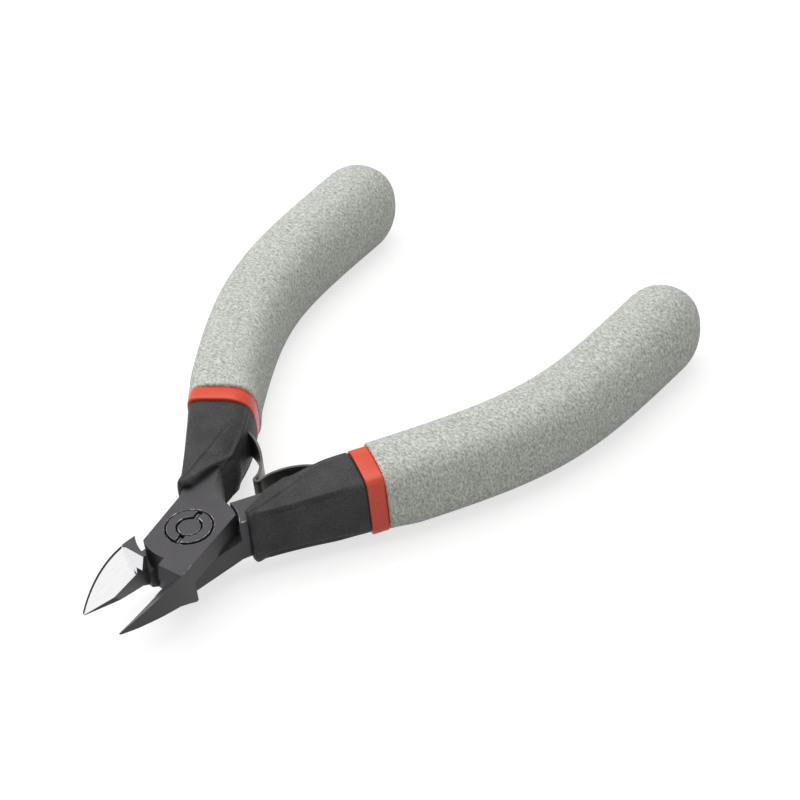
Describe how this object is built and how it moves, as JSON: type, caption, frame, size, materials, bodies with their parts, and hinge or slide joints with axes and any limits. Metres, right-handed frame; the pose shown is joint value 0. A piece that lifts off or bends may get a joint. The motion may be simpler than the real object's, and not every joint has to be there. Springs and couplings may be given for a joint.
{
  "type": "side cutters",
  "caption": "Small diagonal side cutters with pointed jaws, a lap joint on a slotted pivot nut, a hairpin return spring and curved soft grips on black collars.",
  "frame": {"origin": "centre of the pivot pin's flush head, on the back face of the joint", "axes": "+Z along the pivot axis towards the slotted nut, +Y along the tool from the joint towards the handles, jaws towards -Y, +X towards the right handle"},
  "size_m": [0.084, 0.1185, 0.017],
  "materials": {
    "black_steel": "black oxide on forged steel, satin, jaw faces ground bright",
    "pivot_steel": "black oxide on turned steel, satin",
    "spring_steel": "rolled spring steel strip",
    "black_plastic": "moulded, fine matte texture",
    "red_plastic": "moulded, semi-gloss",
    "grey_grip": "soft moulded grip with a fine wrinkled grain"
  },
  "bodies": {
    "lower_body": {"lower_half": "black_steel", "pivot_pin": "pivot_steel", "ring_nut": "pivot_steel", "right_handle_core": "black_plastic", "right_band": "red_plastic", "right_grip": "grey_grip", "return_spring": "spring_steel"},
    "upper_body": {"upper_half": "black_steel", "left_handle_core": "black_plastic", "left_band": "red_plastic", "left_grip": "grey_grip"}
  },
  "joints": [
    {"name": "pivot", "type": "hinge", "parent": "lower_body", "child": "upper_body", "pos_m": [0, 0, 0], "axis": [0, 0, -1], "range_deg": [0, 19.3], "stiffness_Nm_per_rad": 1, "deforming": ["return_spring"]}
  ]
}
